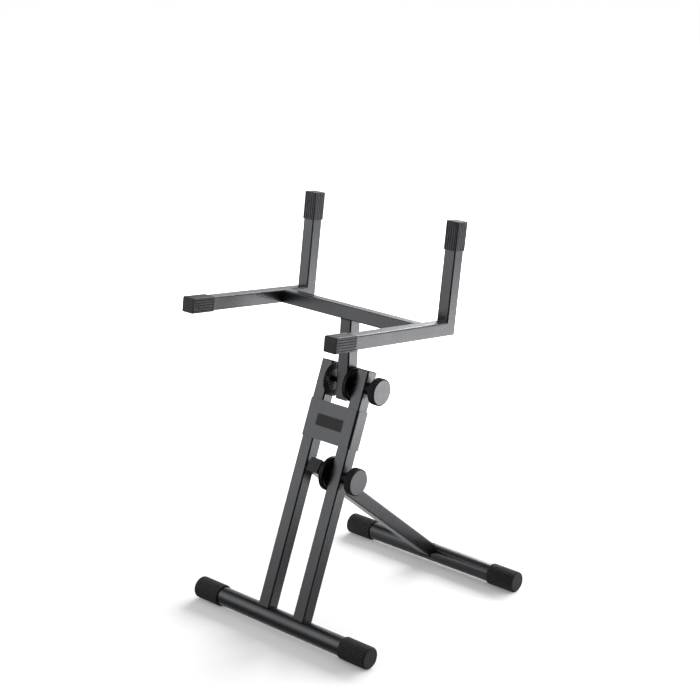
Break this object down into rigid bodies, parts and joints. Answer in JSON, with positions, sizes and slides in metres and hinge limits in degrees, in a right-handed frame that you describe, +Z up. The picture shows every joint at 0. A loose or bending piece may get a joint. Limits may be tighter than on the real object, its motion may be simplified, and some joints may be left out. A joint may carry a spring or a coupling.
{
  "type": "folding amp stand",
  "caption": "Folding tilt-back stand for a combo amplifier: leaning square uprights, a hinged rear leg and an armed seat, held by clutch joints with hand knobs.",
  "frame": {"origin": "on the floor, at the middle of the stand's outline at rest", "axes": "+Z up, -Y towards the front of the stand, +X towards the side with the knobs"},
  "size_m": [0.43, 0.5442, 0.7695],
  "materials": {
    "black_paint": "satin black powder coat",
    "foot_rubber": "ribbed matt black rubber",
    "clutch_plastic": "moulded black glass-filled plastic",
    "knob_plastic": "moulded black plastic, fine grain",
    "knob_face": "satin dark grey face cap",
    "plug_plastic": "moulded black plastic",
    "label": "bare dark label plate",
    "zinc_steel": "zinc plated",
    "brass": "turned"
  },
  "bodies": {
    "front_frame": {"front_foot_tube": "black_paint", "front_foot_cap_left": "foot_rubber", "front_foot_cap_right": "foot_rubber", "upright_left": "black_paint", "upright_right": "black_paint", "upright_plug_left": "plug_plastic", "upright_plug_right": "plug_plastic", "brace": "black_paint", "label_plate": "label", "leg_bolt": "zinc_steel", "leg_spacer": "clutch_plastic", "leg_washer": "plug_plastic", "leg_clutch_fixed": "clutch_plastic", "tilt_bolt": "zinc_steel", "tilt_spacer": "clutch_plastic", "tilt_washer": "plug_plastic", "tilt_clutch_fixed": "clutch_plastic", "tilt_clutch_left": "clutch_plastic"},
    "rear_leg": {"leg_tube": "black_paint", "leg_plug": "plug_plastic", "leg_shim": "clutch_plastic", "leg_clutch_turning": "clutch_plastic", "rear_foot_tube": "black_paint", "rear_foot_cap_left": "foot_rubber", "rear_foot_cap_right": "foot_rubber"},
    "head": {"post_tube": "black_paint", "post_plug": "plug_plastic", "tilt_clutch_turning": "clutch_plastic", "cross_tube": "black_paint", "arm_left": "black_paint", "arm_right": "black_paint", "arm_cap_left": "foot_rubber", "arm_cap_right": "foot_rubber", "back_rest_left": "black_paint", "back_rest_right": "black_paint", "back_rest_cap_left": "foot_rubber", "back_rest_cap_right": "foot_rubber"},
    "leg_knob_turning": {"leg_knob": "knob_plastic", "leg_knob_cap": "knob_face", "leg_knob_insert": "brass"},
    "tilt_knob_turning": {"tilt_knob": "knob_plastic", "tilt_knob_cap": "knob_face", "tilt_knob_insert": "brass"}
  },
  "joints": [
    {"name": "leg_fold", "type": "hinge", "parent": "front_frame", "child": "rear_leg", "pos_m": [0, -0.09142, 0.29162], "axis": [-1, 0, 0], "range_deg": [-15, 65]},
    {"name": "head_tilt", "type": "hinge", "parent": "front_frame", "child": "head", "pos_m": [0, -0.03292, 0.45017], "axis": [-1, 0, 0], "range_deg": [-76, 40]},
    {"name": "leg_knob_turn", "type": "hinge", "parent": "front_frame", "child": "leg_knob_turning", "pos_m": [0.0585, -0.09142, 0.29162], "axis": [1, 0, 0], "continuous": true},
    {"name": "tilt_knob_turn", "type": "hinge", "parent": "front_frame", "child": "tilt_knob_turning", "pos_m": [0.0585, -0.03292, 0.45017], "axis": [1, 0, 0], "continuous": true}
  ]
}
